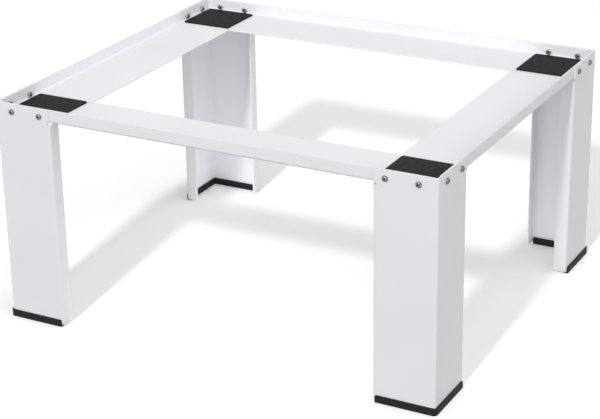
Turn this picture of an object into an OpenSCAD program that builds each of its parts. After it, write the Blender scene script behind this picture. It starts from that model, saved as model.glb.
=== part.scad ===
// Washing machine stand: four folded sheet legs, four angle rails bolted between them,
// a rubber pad on each corner of the rail frame and a rubber foot under each leg.
// Millimetres, +Z up, origin on the floor under the middle of the stand, front towards -Y.

/* [Stand] */
// Width over the outer faces of the legs, side to side
stand_w = 630; // [560:5:700]
// Depth over the outer faces of the legs, front to back
stand_d = 540; // [480:5:620]
// Height from the floor to the top of the legs
stand_h = 310; // [200:5:400]
// Thickness of the steel sheet
sheet = 1.5; // [1.2:0.1:2]
// Outer radius of a fold in the sheet
fold_r = 3; // [2.5:0.25:3.5]

/* [Legs] */
// Width of each of the two walls of a leg
leg_w = 84; // [76:1:96]
// Reach of the lip folded inward at the free edge of a wall
lip_w = 19; // [12:1:24]
// Gap between the underside of the rails and the top of a lip
lip_gap = 3.5; // [2.5:0.5:8]
// Height of the relief slot between a lip and the flat wall above it
relief_h = 2.5; // [1.5:0.25:2.5]
// Length of the relief slot, in from the folded edge
relief_w = 5; // [4:0.5:8]
// Setback of the flat wall above a lip from the folded edge
edge_back = 1; // [0.5:0.25:2]

/* [Rails] */
// Width of the flat tray of a rail
rail_w = 88; // [82:1:100]
// Height of the upright flange of a rail
rail_h = 17.5; // [16:0.5:22]
// Height of a leg above the upright flanges
rail_drop = 0.5; // [0:0.25:1]
// Distance from the inside corner of a leg to the end of an upright flange
flange_back = 8; // [6:0.5:12]
// Gap in the mitred seam between two rails
seam_gap = 0.5; // [0.3:0.1:1]

/* [Pads] */
// Thickness of a pad
pad_t = 2; // [1:0.25:3]
// Distance from a pad to the inner edge of the tray
pad_margin = 4; // [2:0.5:6]
// Corner radius of a pad
pad_r = 3; // [1:0.5:6]
// Space between the ends of the bolts and a pad
pad_room = 0.5; // [0.3:0.1:1]

/* [Feet] */
// Overall height of a foot
foot_h = 10; // [8:0.5:14]
// Thickness of a foot under the leg
foot_base = 3; // [2:0.25:4]
// Thickness of the two walls of a foot
foot_wall = 2; // [1.5:0.25:3]
// Clearance between a foot and the sheet on each side
foot_fit = 0.2; // [0.1:0.05:0.3]
// Distance from the end of a foot to the fold of the lip beside it
foot_back = 0.5; // [0.3:0.1:3]
// Radius of the upper corner at each end of a foot
foot_end_r = 2; // [1:0.5:4]

/* [Fasteners] */
// Diameter of a bolt
bolt_d = 4; // [3:0.5:5]
// Distance from the outer corner of a leg to the nearer bolt
bolt_near = 25; // [20:1:30]
// Distance between the two bolts in one wall
bolt_pitch = 43; // [34:1:46]
// Length of a bolt past its nut
bolt_end = 1.8; // [0.6:0.2:2.4]
// Radial clearance of a bolt in the sheet
hole_fit = 0.25; // [0.15:0.05:0.4]
// Radial clearance of a bolt in its nut
thread_fit = 0.05; // [0.03:0.01:0.1]
// Diameter of a bolt head
head_d = 8; // [7:0.25:10]
// Height of a bolt head
head_h = 3.1; // [2.5:0.1:3.5]
// Width of the arms of the cross recess in a head
recess_w = 1; // [0.7:0.1:1.3]
// Span of the cross recess in a head
recess_d = 4.4; // [3.4:0.2:5.6]
// Depth of the cross recess in a head
recess_h = 1.7; // [1:0.1:1.8]
// Width across the flats of a nut
nut_w = 7; // [6.5:0.25:8]
// Height of a nut
nut_h = 3.2; // [2.4:0.2:4]
// Height of a nut above the fold of the rail
nut_lift = 0.1; // [0:0.1:1]

/* [Hidden] */

// Overlap that makes one solid cut cleanly through another
cut = 1;
// Inner radius of a fold
fold_in = fold_r - sheet;
// Underside of the rails, and the top face of their trays
rail_z = stand_h - rail_drop - rail_h;
tray_z = rail_z + sheet;
// Top of the lips
lip_z = rail_z - lip_gap;
// Height of the bolts: their nuts lie on the flat face of a flange, just above its fold
bolt_z = rail_z + fold_r + nut_lift + nut_w / 2;
// Gap between an upright flange and a pad: the nut and the bolt end stand in it
pad_gap = nut_h + bolt_end + pad_room;
// Side of the square pad
pad_w = rail_w - sheet - pad_gap - pad_margin;
// Distance along a wall to each of its bolts
bolt_stations = [bolt_near, bolt_near + bolt_pitch];
// Face of the sheet pair on which the nuts sit
grip = 2 * sheet;
// Outside and inside of a foot, from the outer face of the leg
foot_out = foot_fit + foot_wall;
foot_in = sheet + foot_fit + foot_wall;
// Turns that carry the front left corner to each corner of the stand
FRONT_LEFT = 0;
FRONT_RIGHT = 90;
BACK_RIGHT = 180;
BACK_LEFT = 270;

STEEL_WHITE = [0.93, 0.93, 0.95];
RUBBER_BLACK = [0.15, 0.15, 0.16];
ZINC = [0.78, 0.78, 0.8];

// Block with one corner rounded: the corner where X and Y are lowest
module rounded_corner_block(from, size, r, h) {
    translate([from, from, 0]) {
        translate([r, 0, 0]) cube([size - r, size, h]);
        translate([0, r, 0]) cube([size, size - r, h]);
        translate([r, r, 0]) cylinder(r = r, h = h, $fn = 64);
    }
}

// Block with all four upright edges rounded
module rounded_block(from, size, r, h) {
    translate([from, from, 0]) {
        translate([r, 0, 0]) cube([size - 2 * r, size, h]);
        translate([0, r, 0]) cube([size, size - 2 * r, h]);
        for (x = [r, size - r], y = [r, size - r])
            translate([x, y, 0]) cylinder(r = r, h = h, $fn = 64);
    }
}

// A child made at the front left corner, turned to the corner that the angle names
module at_corner(angle) {
    sideways = angle == FRONT_RIGHT || angle == BACK_LEFT;
    half_x = (sideways ? stand_d : stand_w) / 2;
    half_y = (sideways ? stand_w : stand_d) / 2;
    rotate([0, 0, angle])
        translate([-half_x, -half_y, 0])
            children();
}

// Both walls of a corner: the child lies along the front wall, and its twin along the side wall
module on_both_walls() {
    children();
    mirror([1, -1, 0]) children();
}

// Two plain walls meeting at the outer fold
module leg_walls(wall_w, h) {
    difference() {
        rounded_corner_block(0, wall_w, fold_r, h);
        translate([0, 0, -cut])
            rounded_corner_block(sheet, wall_w, fold_in, h + 2 * cut);
    }
}

// Two walls with a lip folded inward at each free edge
module leg_walls_with_lips(h) {
    difference() {
        rounded_block(0, leg_w, fold_r, h);
        translate([0, 0, -cut])
            rounded_block(sheet, leg_w - 2 * sheet, fold_in, h + 2 * cut);
        translate([lip_w, lip_w, -cut])
            cube([leg_w, leg_w, h + 2 * cut]);
    }
}

// Slot with one round end that frees the flat wall from the lip below it
module relief_slot() {
    slot_r = relief_h / 2;
    translate([leg_w - relief_w, -cut, lip_z]) {
        translate([slot_r, 0, 0]) cube([relief_w + cut, fold_r + 2 * cut, relief_h]);
        translate([slot_r, 0, slot_r])
            rotate([-90, 0, 0])
                cylinder(r = slot_r, h = fold_r + 2 * cut, $fn = 32);
    }
}

// Bolt holes through a wall that runs along X, at the given distances from its corner
module bolt_holes(stations, depth) {
    for (x = stations)
        translate([x, -cut, bolt_z])
            rotate([-90, 0, 0])
                cylinder(d = bolt_d + 2 * hole_fit, h = depth + 2 * cut, $fn = 32);
}

module leg() {
    color(STEEL_WHITE)
        difference() {
            union() {
                translate([0, 0, foot_base])
                    leg_walls_with_lips(lip_z - foot_base);
                translate([0, 0, lip_z])
                    leg_walls(leg_w - edge_back, stand_h - lip_z);
            }
            on_both_walls() relief_slot();
            on_both_walls() bolt_holes(bolt_stations, sheet);
        }
}

// Length of the angle section, folded along its lower outer edge
module angle_section(length) {
    difference() {
        angle_solid(length, 0, fold_r);
        translate([-cut, 0, 0]) angle_solid(length + 2 * cut, sheet, fold_in);
    }
}

// Solid that fills the angle from the given inset, with its fold edge rounded
module angle_solid(length, inset, r) {
    translate([0, inset, inset]) {
        translate([0, r, 0]) cube([length, rail_w - r, rail_h]);
        translate([0, 0, r]) cube([length, rail_w, rail_h - r]);
        translate([0, r, r]) rotate([0, 90, 0]) cylinder(r = r, h = length, $fn = 64);
    }
}

// Rail along X between two legs, with its tray towards +Y and mitred at both ends
module rail(length) {
    end_in = rail_w + seam_gap;
    color(STEEL_WHITE)
        translate([0, 0, rail_z])
            difference() {
                intersection() {
                    angle_section(length);
                    linear_extrude(rail_h + cut)
                        polygon([
                            [seam_gap, 0],
                            [length - seam_gap, 0],
                            [length - end_in, rail_w],
                            [end_in, rail_w]
                        ]);
                }
                for (x = [-cut, length - flange_back])
                    translate([x, -cut, -cut])
                        cube([flange_back + cut, fold_r + seam_gap + cut, rail_h + 2 * cut]);
                translate([0, 0, -rail_z]) {
                    bolt_holes([for (x = bolt_stations) x - sheet], sheet);
                    bolt_holes([for (x = bolt_stations) length - (x - sheet)], sheet);
                }
            }
}

// Rail set against the inner faces of the legs, at the side that the angle names
module rail_at(angle) {
    length = (angle == FRONT_LEFT || angle == BACK_RIGHT ? stand_w : stand_d) - 2 * sheet;
    at_corner(angle)
        translate([sheet, sheet, 0])
            rail(length);
}

module pad() {
    color(RUBBER_BLACK)
        translate([0, 0, tray_z])
            rounded_block(grip + pad_gap, pad_w, pad_r, pad_t);
}

// What rounds the upper corner at the end of the outer wall of a foot
module foot_end_cut(end_x) {
    translate([end_x - foot_end_r, -foot_out - cut, foot_h - foot_end_r])
        difference() {
            cube([foot_end_r + cut, foot_out + cut - foot_fit / 2, foot_end_r + cut]);
            rotate([-90, 0, 0])
                cylinder(r = foot_end_r, h = foot_out + cut, $fn = 32);
        }
}

// Channel that wraps the lower edge of both walls of a leg
module foot() {
    end_x = leg_w - fold_r - foot_back;
    slot_w = sheet + 2 * foot_fit;
    color(RUBBER_BLACK)
        difference() {
            rounded_corner_block(-foot_out, end_x + foot_out, fold_r + foot_out, foot_h);
            translate([foot_in, foot_in, -cut])
                cube([leg_w, leg_w, foot_h + 2 * cut]);
            translate([0, 0, foot_base])
                difference() {
                    rounded_corner_block(-foot_fit, leg_w + cut, fold_r + foot_fit, foot_h);
                    translate([slot_w - foot_fit, slot_w - foot_fit, -cut])
                        cube([leg_w + cut, leg_w + cut, foot_h + 2 * cut]);
                }
            on_both_walls() foot_end_cut(end_x);
        }
}

// Outline of a domed head, from its axis outward
function head_outline() =
    let (rim = head_h / 4, r = head_d / 2, steps = 8)
    concat(
        [[0, 0], [r, 0]],
        [for (i = [0:steps]) let (a = 90 * i / steps) [r * cos(a), rim + (head_h - rim) * sin(a)]]
    );

// Bolt on the Z axis: head above the sheet, plain shank below it
module bolt() {
    length = grip + nut_h + bolt_end;
    tip = bolt_d / 8;
    difference() {
        union() {
            rotate_extrude($fn = 48) polygon(head_outline());
            translate([0, 0, -length + tip]) cylinder(d = bolt_d, h = length, $fn = 48);
            translate([0, 0, -length])
                cylinder(d1 = bolt_d - 2 * tip, d2 = bolt_d, h = tip, $fn = 48);
        }
        for (a = [45, 135])
            rotate([0, 0, a])
                translate([-recess_d / 2, -recess_w / 2, head_h - recess_h])
                    cube([recess_d, recess_w, recess_h + cut]);
    }
}

// Hexagon nut below the sheet pair, on the Z axis
module nut() {
    across_corners = nut_w / cos(30);
    chamfer = (across_corners - nut_w) / 2;
    translate([0, 0, -grip - nut_h])
        difference() {
            intersection() {
                cylinder(d = across_corners, h = nut_h, $fn = 6);
                rotate_extrude($fn = 48)
                    polygon([
                        [0, 0],
                        [nut_w / 2, 0],
                        [across_corners / 2, chamfer / 2],
                        [across_corners / 2, nut_h],
                        [0, nut_h]
                    ]);
            }
            translate([0, 0, -cut])
                cylinder(d = bolt_d + 2 * thread_fit, h = nut_h + 2 * cut, $fn = 48);
        }
}

// The four places of one corner where a bolt passes through a leg and a rail
module at_bolts() {
    on_both_walls()
        for (x = bolt_stations)
            translate([x, 0, bolt_z])
                rotate([90, 0, 0])
                    children();
}

module bolts() {
    color(ZINC) at_bolts() bolt();
}

module nuts() {
    color(ZINC) at_bolts() nut();
}

at_corner(FRONT_LEFT) leg();  // leg_front_left
at_corner(FRONT_RIGHT) leg();  // leg_front_right
at_corner(BACK_LEFT) leg();  // leg_back_left
at_corner(BACK_RIGHT) leg();  // leg_back_right
rail_at(FRONT_LEFT);  // rail_front
rail_at(BACK_RIGHT);  // rail_back
rail_at(BACK_LEFT);  // rail_left
rail_at(FRONT_RIGHT);  // rail_right
at_corner(FRONT_LEFT) pad();  // pad_front_left
at_corner(FRONT_RIGHT) pad();  // pad_front_right
at_corner(BACK_LEFT) pad();  // pad_back_left
at_corner(BACK_RIGHT) pad();  // pad_back_right
at_corner(FRONT_LEFT) foot();  // foot_front_left
at_corner(FRONT_RIGHT) foot();  // foot_front_right
at_corner(BACK_LEFT) foot();  // foot_back_left
at_corner(BACK_RIGHT) foot();  // foot_back_right
at_corner(FRONT_LEFT) bolts();  // bolts_front_left
at_corner(FRONT_RIGHT) bolts();  // bolts_front_right
at_corner(BACK_LEFT) bolts();  // bolts_back_left
at_corner(BACK_RIGHT) bolts();  // bolts_back_right
at_corner(FRONT_LEFT) nuts();  // nuts_front_left
at_corner(FRONT_RIGHT) nuts();  // nuts_front_right
at_corner(BACK_LEFT) nuts();  // nuts_back_left
at_corner(BACK_RIGHT) nuts();  // nuts_back_right
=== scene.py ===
import math

import bpy
from mathutils import Matrix, Vector


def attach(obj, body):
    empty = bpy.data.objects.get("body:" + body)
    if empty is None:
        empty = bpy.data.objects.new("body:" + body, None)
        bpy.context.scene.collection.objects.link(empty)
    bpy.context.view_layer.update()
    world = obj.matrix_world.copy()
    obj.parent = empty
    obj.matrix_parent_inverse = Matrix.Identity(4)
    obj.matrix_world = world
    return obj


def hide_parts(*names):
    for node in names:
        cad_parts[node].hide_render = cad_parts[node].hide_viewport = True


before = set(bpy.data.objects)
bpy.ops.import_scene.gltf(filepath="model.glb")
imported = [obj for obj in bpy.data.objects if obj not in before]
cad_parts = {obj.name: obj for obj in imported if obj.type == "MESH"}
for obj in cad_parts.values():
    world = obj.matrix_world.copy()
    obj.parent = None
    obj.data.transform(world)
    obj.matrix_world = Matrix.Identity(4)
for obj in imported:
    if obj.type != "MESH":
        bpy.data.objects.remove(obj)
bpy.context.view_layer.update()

# Frame of the photograph, in pixels
PHOTO_W = 600
# Focal length of the photograph, in pixels of that frame
FOCAL_PX = 1767.7
# Where the camera stands, in metres, and how it is turned, in degrees
CAMERA_AT = Vector((1.0700, -2.0013, 1.0636))
CAMERA_YAW = 28.409
CAMERA_PITCH = -22.737
CAMERA_ROLL = -0.975

MILLIMETRE = 0.001
SIDES = ("front", "back", "left", "right")
# Signs of the corners on the axes, and the turn that carries the front left one to each
CORNERS = {
    "front_left": (-1, -1, 0),
    "front_right": (1, -1, 90),
    "back_right": (1, 1, 180),
    "back_left": (-1, 1, 270),
}

# The stand's sizes, in millimetres, as in the CAD
STAND_W = 630
STAND_D = 540
STAND_H = 310
SHEET = 1.5
FOLD_R = 3
LEG_W = 84
RAIL_W = 88
RAIL_H = 17.5
# Height of a leg above the upright flanges
RAIL_DROP = 0.5
# Distances from the outer corner of a leg to its bolts
BOLT_STATIONS = (25, 68)
# Length of a bolt past its nut
BOLT_END = 1.8
NUT_W = 7
NUT_H = 3.2
# Height of a nut above the fold of the rail
NUT_LIFT = 0.1
PAD_T = 2
PAD_R = 3
# Space between a pad and the ends of the bolts, and between it and the inner edge of the tray
PAD_ROOM = 0.5
PAD_MARGIN = 4
FOOT_H = 10
FOOT_BASE = 3
FOOT_WALL = 2
FOOT_FIT = 0.2
# Distance from the end of a foot to the fold of the lip beside it
FOOT_BACK = 0.5
FOOT_END_R = 2

# Sizes that follow from them, for the front left corner
GRIP = 2 * SHEET
RAIL_Z = STAND_H - RAIL_DROP - RAIL_H
BOLT_Z = RAIL_Z + FOLD_R + NUT_LIFT + NUT_W / 2
PAD_GAP = NUT_H + BOLT_END + PAD_ROOM
PAD_W = RAIL_W - SHEET - PAD_GAP - PAD_MARGIN
PAD_MIDDLE = GRIP + PAD_GAP + PAD_W / 2
PAD_Z = RAIL_Z + SHEET
# Faces of a foot, from the outer face of the leg inward
FOOT_OUT = -FOOT_FIT - FOOT_WALL
FOOT_SLOT_OUT = -FOOT_FIT
FOOT_SLOT_IN = SHEET + FOOT_FIT
FOOT_IN = FOOT_SLOT_IN + FOOT_WALL
FOOT_END = LEG_W - FOLD_R - FOOT_BACK

# The finer forms lie just inside the CAD ones
HEAD_R = 3.98
HEAD_H = 3.04
# Height of the upright rim of a head, below its dome
HEAD_RIM = 0.8
# Gap under a head, the rounding of its lower edge, and the top of its plain side
HEAD_LIFT = 0.02
HEAD_EDGE = 0.12
HEAD_SIDE_TOP = 0.5
# Slopes of the dome, in degrees, at which it has points outside the recess
DOME_SLOPES = (0, 12, 24, 36, 46, 53)
RECESS_ARM = 2.2
RECESS_HALF_W = 0.5
RECESS_DEPTH = 1.65
# Rise of the recess's floor from its middle to the tip of an arm, as a share of its depth
RECESS_RISE = 0.65
# Share of the way from the outline of the recess to the last round ring at which the dome has points
RECESS_BLEND = (0.6, 0.25, 0)
# Section of the recess from its rim to its floor: share of its outline, and of its depth
RECESS_SECTION = ((0.96, 0.12), (0.8, 0.8), (0.45, 1))
SHANK_R = 1.98
THREAD_MINOR_R = 1.66
THREAD_PITCH = 0.7
THREAD_ROWS = 20
# Where the thread starts to show, and where the bolt ends, from the outer face of the leg
THREAD_TOP = -5.8
THREAD_RUN_OUT = 0.1
BOLT_TIP = 0.05 - GRIP - NUT_H - BOLT_END
TIP_R = 1.45
# Angles in a quarter turn at which a bolt's rings have points: the corners of the recess are among them
QUARTER = (0, 6.5, 12.8, 16, 21, 28, 36, 45, 54, 62, 69, 74, 77.2, 83.5)
BOLT_ANGLES = [math.radians(q + 90 * k) for k in range(4) for q in QUARTER]
NUT_BORE_R = 2.03
NUT_BORE_CHAMFER = 0.25
# Radius of the flat faces of a nut, inside its chamfers
NUT_FACE_R = 0.96 * NUT_W / 2
NUT_ANGLES = [math.radians(7.5 * k) for k in range(48)]
# Section of a pad's edge from its underside to its top face: how far in, and how high
PAD_EDGE = ((0.3, 0.02), (0, 0.25), (0, 1.2), (0.07, 1.55), (0.25, 1.82), (0.5, 1.96), (0.8, PAD_T))
# Bevel of a foot's edges, and the radius of its bend on the faces inside the leg
FOOT_EDGE = 0.3
FOOT_INNER_BEND_R = 0.8
# Distances from a foot's end at which its rounded upper corner has points
FOOT_END_STEPS = (0, 0.15, 0.5, 1, 1.5, FOOT_END_R)


def camera_axes(yaw, pitch, roll):
    """Right, up and forward of a camera that looks along +Y, turned left by yaw and up by pitch."""
    forward = Vector((-math.sin(yaw) * math.cos(pitch), math.cos(yaw) * math.cos(pitch), math.sin(pitch)))
    level = forward.cross(Vector((0, 0, 1))).normalized()
    above = level.cross(forward)
    right = math.cos(roll) * level + math.sin(roll) * above
    up = math.cos(roll) * above - math.sin(roll) * level
    return right, up, forward


def make_camera():
    data = bpy.data.cameras.new("camera")
    data.sensor_width = 36
    data.lens = FOCAL_PX / PHOTO_W * data.sensor_width
    data.clip_start = 0.05
    data.clip_end = 60
    right, up, forward = camera_axes(*map(math.radians, (CAMERA_YAW, CAMERA_PITCH, CAMERA_ROLL)))
    camera = bpy.data.objects.new("camera", data)
    camera.matrix_world = Matrix((
        (right.x, up.x, -forward.x, CAMERA_AT.x),
        (right.y, up.y, -forward.y, CAMERA_AT.y),
        (right.z, up.z, -forward.z, CAMERA_AT.z),
        (0, 0, 0, 1),
    ))
    bpy.context.scene.collection.objects.link(camera)
    bpy.context.scene.camera = camera


# Materials

def new_material(name):
    material = bpy.data.materials.new(name)
    material.use_nodes = True
    return material, material.node_tree, material.node_tree.nodes["Principled BSDF"]


def object_coordinates(tree):
    return tree.nodes.new("ShaderNodeTexCoord").outputs["Object"]


def maths(tree, operation, first, second):
    """Result of an operation on two values, each a number or another node's."""
    node = tree.nodes.new("ShaderNodeMath")
    node.operation = operation
    for socket, value in zip(node.inputs, (first, second)):
        if isinstance(value, (int, float)):
            socket.default_value = value
        else:
            tree.links.new(value, socket)
    return node.outputs[0]


def noise(tree, vector, scale, detail=2.0, roughness=0.5):
    node = tree.nodes.new("ShaderNodeTexNoise")
    node.inputs["Scale"].default_value = scale
    node.inputs["Detail"].default_value = detail
    node.inputs["Roughness"].default_value = roughness
    tree.links.new(vector, node.inputs["Vector"])
    return node.outputs["Fac"]


def remap(tree, value, low, high, from_low=0.3, from_high=0.7):
    """Value carried from one range to another and held to it; noise lies mostly in the range given here."""
    node = tree.nodes.new("ShaderNodeMapRange")
    node.inputs["From Min"].default_value = from_low
    node.inputs["From Max"].default_value = from_high
    node.inputs["To Min"].default_value = low
    node.inputs["To Max"].default_value = high
    tree.links.new(value, node.inputs["Value"])
    return node.outputs["Result"]


def blend_colours(tree, factor, first, second):
    """Mix of two colours, each a fixed one or another node's."""
    node = tree.nodes.new("ShaderNodeMix")
    node.data_type = "RGBA"
    for socket, colour in (("A", first), ("B", second)):
        if isinstance(colour, tuple):
            node.inputs[socket].default_value = (*colour, 1)
        else:
            tree.links.new(colour, node.inputs[socket])
    tree.links.new(factor, node.inputs["Factor"])
    return node.outputs["Result"]


def bump(tree, height, strength, distance, normal):
    node = tree.nodes.new("ShaderNodeBump")
    node.inputs["Strength"].default_value = strength
    node.inputs["Distance"].default_value = distance
    tree.links.new(height, node.inputs["Height"])
    tree.links.new(normal, node.inputs["Normal"])
    return node.outputs["Normal"]


def rounded_edges(tree, radius):
    """Normal of the surface with its sharp edges rounded."""
    node = tree.nodes.new("ShaderNodeBevel")
    node.samples = 6
    node.inputs["Radius"].default_value = radius
    return node.outputs["Normal"]


def edge_share(tree, rounded):
    """0 on flat faces, rising to 1 at sharp edges, from the normal of the rounded surface."""
    geometry = tree.nodes.new("ShaderNodeNewGeometry")
    dot = tree.nodes.new("ShaderNodeVectorMath")
    dot.operation = "DOT_PRODUCT"
    tree.links.new(rounded, dot.inputs[0])
    tree.links.new(geometry.outputs["True Normal"], dot.inputs[1])
    return remap(tree, dot.outputs["Value"], 1, 0, from_low=0.8, from_high=0.998)


def openness(tree, distance, closed, open_share):
    """0 in narrow corners and recesses, where less than the closed share is free, and 1 on open faces."""
    node = tree.nodes.new("ShaderNodeAmbientOcclusion")
    node.samples = 8
    node.inputs["Distance"].default_value = distance
    return remap(tree, node.outputs["AO"], 0, 1, from_low=closed, from_high=open_share)


def powder_coat():
    """White satin powder coat: a fine orange peel, a slow change of tone, a painted highlight on its sharp
    edges, and painted shade in seams and narrow corners.
    """
    painted_seam_shade_grey = (0.30, 0.30, 0.32)
    painted_edge_highlight_white = (0.97, 0.97, 0.975)
    material, tree, shader = new_material("powder_coat_white")
    shader.inputs["Specular IOR Level"].default_value = 0.3
    place = object_coordinates(tree)
    tone = remap(tree, noise(tree, place, scale=9, detail=3), 0, 1)
    colour = blend_colours(tree, tone, (0.79, 0.787, 0.824), (0.82, 0.816, 0.85))
    rounded = rounded_edges(tree, 1.2 * MILLIMETRE)
    # Sharp edges are painted paler: a painted highlight
    colour = blend_colours(tree, edge_share(tree, rounded), colour, painted_edge_highlight_white)
    # Seams and narrow corners are painted grey: painted shade
    colour = blend_colours(tree, openness(tree, 3 * MILLIMETRE, 0.1, 0.45), painted_seam_shade_grey, colour)
    tree.links.new(colour, shader.inputs["Base Color"])
    gloss = remap(tree, noise(tree, place, scale=60, detail=4), 0.36, 0.46)
    tree.links.new(gloss, shader.inputs["Roughness"])
    waves = bump(tree, noise(tree, place, scale=420), 0.12, 0.25 * MILLIMETRE, rounded)
    peel = bump(tree, noise(tree, place, scale=1500), 0.10, 0.08 * MILLIMETRE, waves)
    tree.links.new(peel, shader.inputs["Normal"])
    return material


def rubber(name, dark, light, roughness, specular):
    """Black rubber with a fine grain, a few paler patches of dust, a painted highlight on its sharp edges
    and an uneven sheen.
    """
    painted_edge_sheen = tuple(1.7 * c for c in light)
    material, tree, shader = new_material(name)
    shader.inputs["Specular IOR Level"].default_value = specular
    place = object_coordinates(tree)
    tone = remap(tree, noise(tree, place, scale=70, detail=5, roughness=0.6), 0, 1)
    rounded = rounded_edges(tree, 0.4 * MILLIMETRE)
    # Sharp edges are painted paler: a painted highlight
    colour = blend_colours(tree, edge_share(tree, rounded), blend_colours(tree, tone, dark, light), painted_edge_sheen)
    tree.links.new(colour, shader.inputs["Base Color"])
    sheen = remap(tree, noise(tree, place, scale=220, detail=3), roughness - 0.08, roughness + 0.08)
    tree.links.new(sheen, shader.inputs["Roughness"])
    grain = noise(tree, place, scale=1300, detail=3, roughness=0.6)
    tree.links.new(bump(tree, grain, 0.35, 0.15 * MILLIMETRE, rounded), shader.inputs["Normal"])
    return material


def plated(name, colour, roughness):
    """Bright plated steel with fine turning marks, painted near black in corners and recesses as painted
    shade.
    """
    darker = tuple(0.8 * c for c in colour)
    painted_recess_shade = tuple(0.06 * c for c in colour)
    material, tree, shader = new_material(name)
    place = object_coordinates(tree)
    shader.inputs["Metallic"].default_value = 1
    tone = remap(tree, noise(tree, place, scale=500, detail=4), 0, 1)
    metal = blend_colours(tree, tone, darker, colour)
    # Corners and recesses are painted near black: painted shade
    metal = blend_colours(tree, openness(tree, 2 * MILLIMETRE, 0.45, 0.85), painted_recess_shade, metal)
    tree.links.new(metal, shader.inputs["Base Color"])
    gloss = remap(tree, noise(tree, place, scale=900, detail=3), roughness - 0.05, roughness + 0.07)
    tree.links.new(gloss, shader.inputs["Roughness"])
    rounded = rounded_edges(tree, 0.15 * MILLIMETRE)
    marks = bump(tree, noise(tree, place, scale=2600), 0.15, 0.04 * MILLIMETRE, rounded)
    tree.links.new(marks, shader.inputs["Normal"])
    return material


def dress(node, material):
    """Gives a CAD node its material, and leaves its mesh and place alone."""
    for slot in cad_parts[node].material_slots:
        slot.material = material


# Forms, each a list of points in millimetres and a list of faces

def skin(rings, close_ends=True):
    """Surface through rings of equally many points; the last ring joins the first where it isn't closed."""
    points = [p for ring in rings for p in ring]
    count = len(rings[0])
    steps = len(rings) - 1 if close_ends else len(rings)
    faces = []
    for i in range(steps):
        a, b = i * count, (i + 1) % len(rings) * count
        faces += [(a + j, a + (j + 1) % count, b + (j + 1) % count, b + j) for j in range(count)]
    if close_ends:
        faces.append(tuple(reversed(range(count))))
        faces.append(tuple(range(len(points) - count, len(points))))
    return points, faces


def ring(angles, radius, height):
    """Points round the Z axis; the radius and the height are numbers, or functions of the angle."""
    points = []
    for a in angles:
        r = radius(a) if callable(radius) else radius
        z = height(a) if callable(height) else height
        points.append(Vector((r * math.cos(a), r * math.sin(a), z)))
    return points


def recess_reach(angle):
    """Distance from a bolt's axis to the outline of its cross recess."""
    c, s = abs(math.cos(angle)), abs(math.sin(angle))
    along, across = max(c, s), min(c, s)
    tip = RECESS_ARM / along
    return min(tip, RECESS_HALF_W / across) if across > 0.01 else tip


def dome(radius):
    """Height of a head's dome at a distance from its axis."""
    return HEAD_RIM + (HEAD_H - HEAD_RIM) * math.sqrt(max(0.0, 1 - (radius / HEAD_R) ** 2))


def thread_radius(angle, z):
    """Radius of the thread, which narrows at the tip of the bolt."""
    phase = (z / THREAD_PITCH - angle / math.tau) % 1
    crest = 1 - abs(2 * phase - 1)
    return min(THREAD_MINOR_R + (SHANK_R - THREAD_MINOR_R) * crest, TIP_R + z - BOLT_TIP)


def shank_rings():
    """Thread from the tip up, the plain shank, and the rim of the head."""
    rings = []
    for row in range(THREAD_ROWS + 1):
        z = BOLT_TIP + (THREAD_TOP - BOLT_TIP) * row / THREAD_ROWS
        rings.append(ring(BOLT_ANGLES, lambda a: thread_radius(a, z), z))
    sections = (
        (SHANK_R, THREAD_TOP + THREAD_RUN_OUT),
        (SHANK_R, HEAD_LIFT),
        (HEAD_R - HEAD_EDGE, HEAD_LIFT),
        (HEAD_R, HEAD_LIFT + HEAD_EDGE),
        (HEAD_R, HEAD_SIDE_TOP),
    )
    return rings + [ring(BOLT_ANGLES, radius, z) for radius, z in sections]


def dome_rings():
    """Dome of the head, from round rings to the outline of the recess."""
    rings = []
    for slope in DOME_SLOPES:
        radius = HEAD_R * math.cos(math.radians(slope))
        rings.append(ring(BOLT_ANGLES, radius, dome(radius)))
    for share in RECESS_BLEND:
        def reach(a):
            return recess_reach(a) + share * (radius - recess_reach(a))
        rings.append(ring(BOLT_ANGLES, reach, lambda a: dome(reach(a))))
    return rings


def recess_rings():
    """Walls and floor of the recess, which is shallower towards the tips of its arms."""
    rings = []
    for share, depth in RECESS_SECTION:
        def floor_height(a):
            shallower = RECESS_RISE * share * recess_reach(a) / RECESS_ARM
            return dome(recess_reach(a)) - depth * RECESS_DEPTH * (1 - shallower)
        rings.append(ring(BOLT_ANGLES, lambda a: share * recess_reach(a), floor_height))
    return rings


def bolt_form():
    """Pan head bolt on the Z axis, with its head above 0."""
    return skin(shank_rings() + dome_rings() + recess_rings())


def nut_form():
    """Hexagon nut below the sheets of leg and rail, chamfered on both faces, round the Z axis."""
    inside_cad = 0.01
    high, low = -GRIP - inside_cad, -GRIP - NUT_H + inside_cad

    def reach(a):
        return NUT_W / 2 / math.cos(a % math.radians(60) - math.radians(30))

    def drop(a):
        return (reach(a) - NUT_FACE_R) * math.tan(math.radians(30))

    return skin([
        ring(NUT_ANGLES, reach, lambda a: low + drop(a)),
        ring(NUT_ANGLES, reach, lambda a: high - drop(a)),
        ring(NUT_ANGLES, NUT_FACE_R, high),
        ring(NUT_ANGLES, NUT_BORE_R + NUT_BORE_CHAMFER, high),
        ring(NUT_ANGLES, NUT_BORE_R, high - NUT_BORE_CHAMFER),
        ring(NUT_ANGLES, NUT_BORE_R, low + NUT_BORE_CHAMFER),
        ring(NUT_ANGLES, NUT_BORE_R + NUT_BORE_CHAMFER, low),
        ring(NUT_ANGLES, NUT_FACE_R, low),
    ], close_ends=False)


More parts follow.
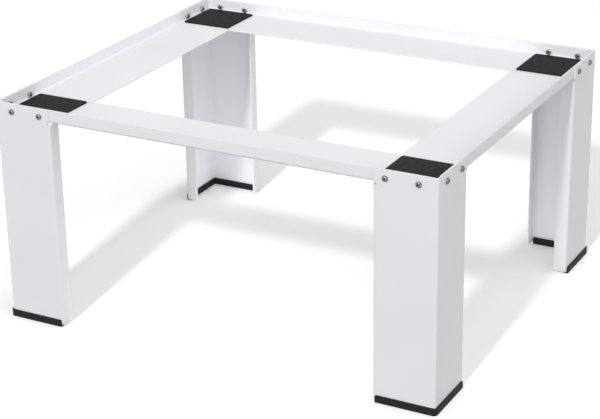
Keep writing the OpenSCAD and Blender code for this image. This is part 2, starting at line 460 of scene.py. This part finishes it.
def pad_form():
    """Square pad round the middle of its corner, with its upright edges and its rims rounded."""
    arc_steps = 6
    middle = PAD_W / 2 - PAD_R
    rings = []
    for inset, z in PAD_EDGE:
        radius = PAD_R - inset
        outline = []
        for turn, (sx, sy) in enumerate(((1, 1), (-1, 1), (-1, -1), (1, -1))):
            for step in range(arc_steps + 1):
                a = math.radians(90 * (turn + step / arc_steps))
                outline.append(Vector((
                    PAD_MIDDLE + sx * middle + radius * math.cos(a),
                    PAD_MIDDLE + sy * middle + radius * math.sin(a),
                    PAD_Z + z,
                )))
        rings.append(outline)
    return skin(rings)


def foot_profile(outer_top):
    """Section of a foot as depths behind the leg's outer face and heights, its edges slightly bevelled."""
    return [
        (FOOT_IN, FOOT_EDGE), (FOOT_IN - FOOT_EDGE, 0), (FOOT_OUT + FOOT_EDGE, 0), (FOOT_OUT, FOOT_EDGE),
        (FOOT_OUT, outer_top - FOOT_EDGE), (FOOT_OUT + FOOT_EDGE, outer_top),
        (FOOT_SLOT_OUT - FOOT_EDGE, outer_top), (FOOT_SLOT_OUT, outer_top - FOOT_EDGE),
        (FOOT_SLOT_OUT, FOOT_BASE), (FOOT_SLOT_IN, FOOT_BASE),
        (FOOT_SLOT_IN, FOOT_H - FOOT_EDGE), (FOOT_SLOT_IN + FOOT_EDGE, FOOT_H),
        (FOOT_IN - FOOT_EDGE, FOOT_H), (FOOT_IN, FOOT_H - FOOT_EDGE),
    ]


def foot_bend(depth):
    """Distance of the bend's axis from the outer faces of the leg, for a point at the given depth."""
    return FOLD_R if depth < FOLD_R else depth + FOOT_INNER_BEND_R


def foot_form():
    """Channel along both walls of the front left leg, with its upper corners rounded at the ends."""
    arc_steps = 8
    ends = []
    for s in FOOT_END_STEPS:
        top = FOOT_H - FOOT_END_R + math.sqrt(FOOT_END_R ** 2 - (FOOT_END_R - s) ** 2)
        ends.append((s, foot_profile(top)))
    rings = []
    for s, profile in ends:
        rings.append([Vector((FOOT_END - s, d, z)) for d, z in profile])
    for step in range(arc_steps + 1):
        a = math.radians(90 * step / arc_steps)
        rings.append([
            Vector((
                foot_bend(d) - (foot_bend(d) - d) * math.sin(a),
                foot_bend(d) - (foot_bend(d) - d) * math.cos(a),
                z,
            )) for d, z in foot_profile(FOOT_H)
        ])
    for s, profile in reversed(ends):
        rings.append([Vector((d, FOOT_END - s, z)) for d, z in profile])
    return skin(rings)


def corner_frame(corner):
    """Carries what is made at the front left corner, in millimetres, to the named one, in metres."""
    sx, sy, turn = CORNERS[corner]
    place = Matrix.Translation((sx * STAND_W / 2 * MILLIMETRE, sy * STAND_D / 2 * MILLIMETRE, 0))
    return place @ Matrix.Rotation(math.radians(turn), 4, "Z") @ Matrix.Scale(MILLIMETRE, 4)


def bolt_frames():
    """Frames of the bolts of the front left corner: Z points out of the leg, and Y up."""
    up = Vector((0, 0, 1))
    frames = []
    for station in BOLT_STATIONS:
        for out, at in ((Vector((0, -1, 0)), (station, 0)), (Vector((-1, 0, 0)), (0, station))):
            along = up.cross(out)
            frames.append(Matrix((
                (along.x, up.x, out.x, at[0]),
                (along.y, up.y, out.y, at[1]),
                (along.z, up.z, out.z, BOLT_Z),
                (0, 0, 0, 1),
            )))
    return frames


def make_piece(name, form, frames, material, node):
    """Piece of one or more equal solids that stands for a CAD node."""
    points, faces = [], []
    for matrix in frames:
        start = len(points)
        points += [matrix @ p for p in form[0]]
        faces += [tuple(start + i for i in face) for face in form[1]]
    mesh = bpy.data.meshes.new(name)
    mesh.from_pydata(points, [], faces)
    mesh.shade_smooth()
    mesh.set_sharp_from_angle(angle=math.radians(28))
    mesh.materials.append(material)
    piece = bpy.data.objects.new(name, mesh)
    bpy.context.scene.collection.objects.link(piece)
    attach(piece, "root")
    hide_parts(node)


# Surroundings

def seen_directly(tree):
    """1 for rays from the camera, a mirror or glass, and 0 for the others."""
    rays = tree.nodes.new("ShaderNodeLightPath").outputs
    camera_or_mirror = maths(tree, "MAXIMUM", rays["Is Camera Ray"], rays["Is Glossy Ray"])
    return maths(tree, "MAXIMUM", camera_or_mirror, rays["Is Transmission Ray"])


def under_stand(tree):
    """1 on the floor between the legs, and 0 outside, with a soft border."""
    border = 30
    split = tree.nodes.new("ShaderNodeSeparateXYZ")
    tree.links.new(object_coordinates(tree), split.inputs[0])
    inside = []
    for axis, half in (("X", STAND_W / 2), ("Y", STAND_D / 2)):
        off_middle = maths(tree, "ABSOLUTE", split.outputs[axis], 0)
        start, end = (half - border) * MILLIMETRE, half * MILLIMETRE
        inside.append(remap(tree, off_middle, 1, 0, from_low=start, from_high=end))
    return maths(tree, "MULTIPLY", *inside)


def emission(tree, strength):
    """White glow, whose strength is a number or another node's."""
    node = tree.nodes.new("ShaderNodeEmission")
    node.inputs["Color"].default_value = (1, 1, 1, 1)
    if isinstance(strength, (int, float)):
        node.inputs["Strength"].default_value = strength
    else:
        tree.links.new(strength, node.inputs["Strength"])
    return node.outputs["Emission"]


def floor_white(glow, glow_under, lift):
    """
    White surface that keeps the stand's shadow, and is a little lighter to the camera by its lift.
    It lights the stand from below with the two glows, outside the legs and between them.
    """
    material = bpy.data.materials.new("floor_white")
    material.use_nodes = True
    tree = material.node_tree
    tree.nodes.clear()
    out = tree.nodes.new("ShaderNodeOutputMaterial")
    white_surface = tree.nodes.new("ShaderNodeBsdfDiffuse")
    white_surface.inputs["Color"].default_value = (1, 1, 1, 1)
    shown = tree.nodes.new("ShaderNodeAddShader")
    tree.links.new(white_surface.outputs["BSDF"], shown.inputs[0])
    tree.links.new(emission(tree, lift), shown.inputs[1])
    given = emission(tree, remap(tree, under_stand(tree), glow, glow_under, from_low=0, from_high=1))
    either = tree.nodes.new("ShaderNodeMixShader")
    tree.links.new(seen_directly(tree), either.inputs["Fac"])
    tree.links.new(given, either.inputs[1])
    tree.links.new(shown.outputs["Shader"], either.inputs[2])
    tree.links.new(either.outputs["Shader"], out.inputs["Surface"])
    return material


def make_floor(material):
    """Level square floor through 0, its half side in metres."""
    half = 15
    corners = [(-half, -half, 0), (half, -half, 0), (half, half, 0), (-half, half, 0)]
    mesh = bpy.data.meshes.new("floor")
    mesh.from_pydata(corners, [], [(0, 1, 2, 3)])
    mesh.materials.append(material)
    floor = bpy.data.objects.new("floor", mesh)
    bpy.context.scene.collection.objects.link(floor)


def make_world(above, front, right, back, left):
    """Sky that lights the stand with its own strength from each side; camera and mirrors see it white."""
    world = bpy.data.worlds.new("studio")
    bpy.context.scene.world = world
    world.use_nodes = True
    tree = world.node_tree
    background = tree.nodes["Background"]
    background.inputs["Color"].default_value = (1, 1, 1, 1)
    split = tree.nodes.new("ShaderNodeSeparateXYZ")
    tree.links.new(tree.nodes.new("ShaderNodeTexCoord").outputs["Generated"], split.inputs[0])
    shares = (("Z", 1, above), ("Y", -1, front), ("X", 1, right), ("Y", 1, back), ("X", -1, left))
    level = 0
    for axis, sign, strength in shares:
        share = remap(tree, split.outputs[axis], 0, strength, from_low=0, from_high=sign)
        level = maths(tree, "ADD", level, share)
    either = tree.nodes.new("ShaderNodeMix")
    tree.links.new(seen_directly(tree), either.inputs["Factor"])
    tree.links.new(level, either.inputs["A"])
    either.inputs["B"].default_value = 1
    tree.links.new(either.outputs["Result"], background.inputs["Strength"])


def make_lamp(name, place, radius, power):
    """Round lamp: its place and radius are in metres, and its power is in watts."""
    data = bpy.data.lights.new(name, "POINT")
    data.energy = power
    data.shadow_soft_size = radius
    lamp = bpy.data.objects.new(name, data)
    lamp.location = place
    bpy.context.scene.collection.objects.link(lamp)


make_camera()
make_floor(floor_white(glow=0.16, glow_under=1.36, lift=0.078))
make_world(above=0.1, front=0.68, right=1.29, back=0.58, left=0.58)
make_lamp("key", place=(0.58, -8.06, 6.2), radius=0.33, power=1860)

white = powder_coat()
pad_rubber = rubber(
    "pad_rubber", dark=(0.008, 0.008, 0.010), light=(0.013, 0.013, 0.015), roughness=0.66, specular=0.12,
)
foot_rubber = rubber(
    "foot_rubber", dark=(0.016, 0.016, 0.018), light=(0.022, 0.022, 0.024), roughness=0.6, specular=0.12,
)
# The bolts' plating is painted darker than the nuts': painted reflection of dark surroundings in the heads
bolt_plating_painted_dark = plated("bolt_plating_painted_dark", (0.25, 0.25, 0.26), roughness=0.34)
nut_plating = plated("nut_plating", (0.60, 0.60, 0.62), roughness=0.42)

for side in SIDES:
    dress(f"rail_{side}", white)
bolt, nut, pad, foot = bolt_form(), nut_form(), pad_form(), foot_form()
for corner in CORNERS:
    here = corner_frame(corner)
    at_bolts = [here @ place for place in bolt_frames()]
    dress(f"leg_{corner}", white)
    make_piece(f"pad_rounded_{corner}", pad, [here], pad_rubber, f"pad_{corner}")
    make_piece(f"foot_moulded_{corner}", foot, [here], foot_rubber, f"foot_{corner}")
    make_piece(f"bolts_pan_head_{corner}", bolt, at_bolts, bolt_plating_painted_dark, f"bolts_{corner}")
    make_piece(f"nuts_hexagon_{corner}", nut, at_bolts, nut_plating, f"nuts_{corner}")

bpy.context.scene.view_settings.view_transform = "Standard"
